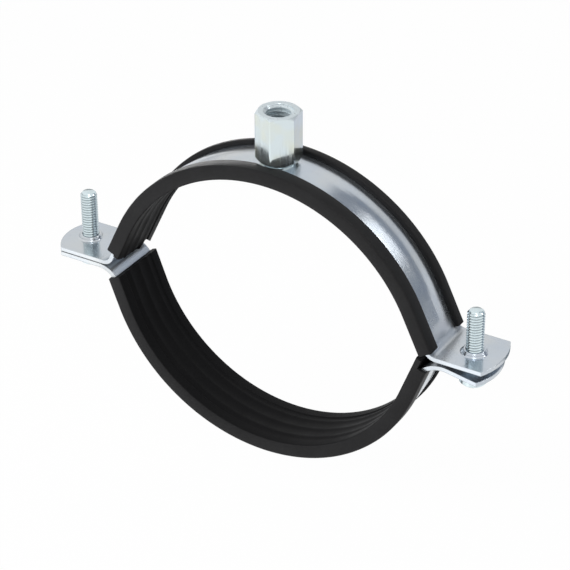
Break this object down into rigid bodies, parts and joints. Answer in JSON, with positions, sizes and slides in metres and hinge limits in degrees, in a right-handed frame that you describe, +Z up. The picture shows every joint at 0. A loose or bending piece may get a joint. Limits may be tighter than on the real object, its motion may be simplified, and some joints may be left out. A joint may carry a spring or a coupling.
{
  "type": "rubber lined pipe clamp",
  "caption": "Split pipe clamp of zinc plated steel strip with ribbed rubber liners, screwed together at two flat ears, with a hexagonal boss threaded for a hanging rod.",
  "frame": {"origin": "centre of the pipe seat in the fixed upper half, midway along the pipe", "axes": "+Z up the axis of the rod thread, +Y along the pipe, +X towards the right-hand ear; the pipe passes front to back"},
  "size_m": [0.1741, 0.024, 0.1285],
  "materials": {
    "zinc_steel": "bright zinc plate",
    "boss_steel": "bright zinc plate, turned and drawn bar",
    "screw_steel": "bright zinc plate on rolled thread",
    "epdm": "matt extruded rubber"
  },
  "bodies": {
    "upper_half": {"upper_band": "zinc_steel", "upper_liner": "epdm", "rod_boss": "boss_steel"},
    "lower_half": {"lower_band": "zinc_steel", "lower_liner": "epdm"},
    "left_clamp_screw": {"left_screw": "screw_steel"},
    "right_clamp_screw": {"right_screw": "screw_steel"}
  },
  "joints": [
    {"name": "clamp_opening", "type": "slide", "parent": "upper_half", "child": "lower_half", "axis": [0, 0, -1], "range_m": [0, 0.0144]},
    {"name": "left_screw_turn", "type": "hinge", "parent": "lower_half", "child": "left_clamp_screw", "pos_m": [-0.0801, 0.0011, 0.01], "axis": [0, 0, -1], "range_deg": [0, 5190]},
    {"name": "right_screw_turn", "type": "hinge", "parent": "lower_half", "child": "right_clamp_screw", "pos_m": [0.0749, -0.0006, 0.01], "axis": [0, 0, -1], "range_deg": [0, 5190]}
  ],
  "couplings": [
    {"joint": "left_screw_turn", "follows": "clamp_opening", "rad_per_m": 6283.2},
    {"joint": "right_screw_turn", "follows": "clamp_opening", "rad_per_m": 6283.2}
  ]
}
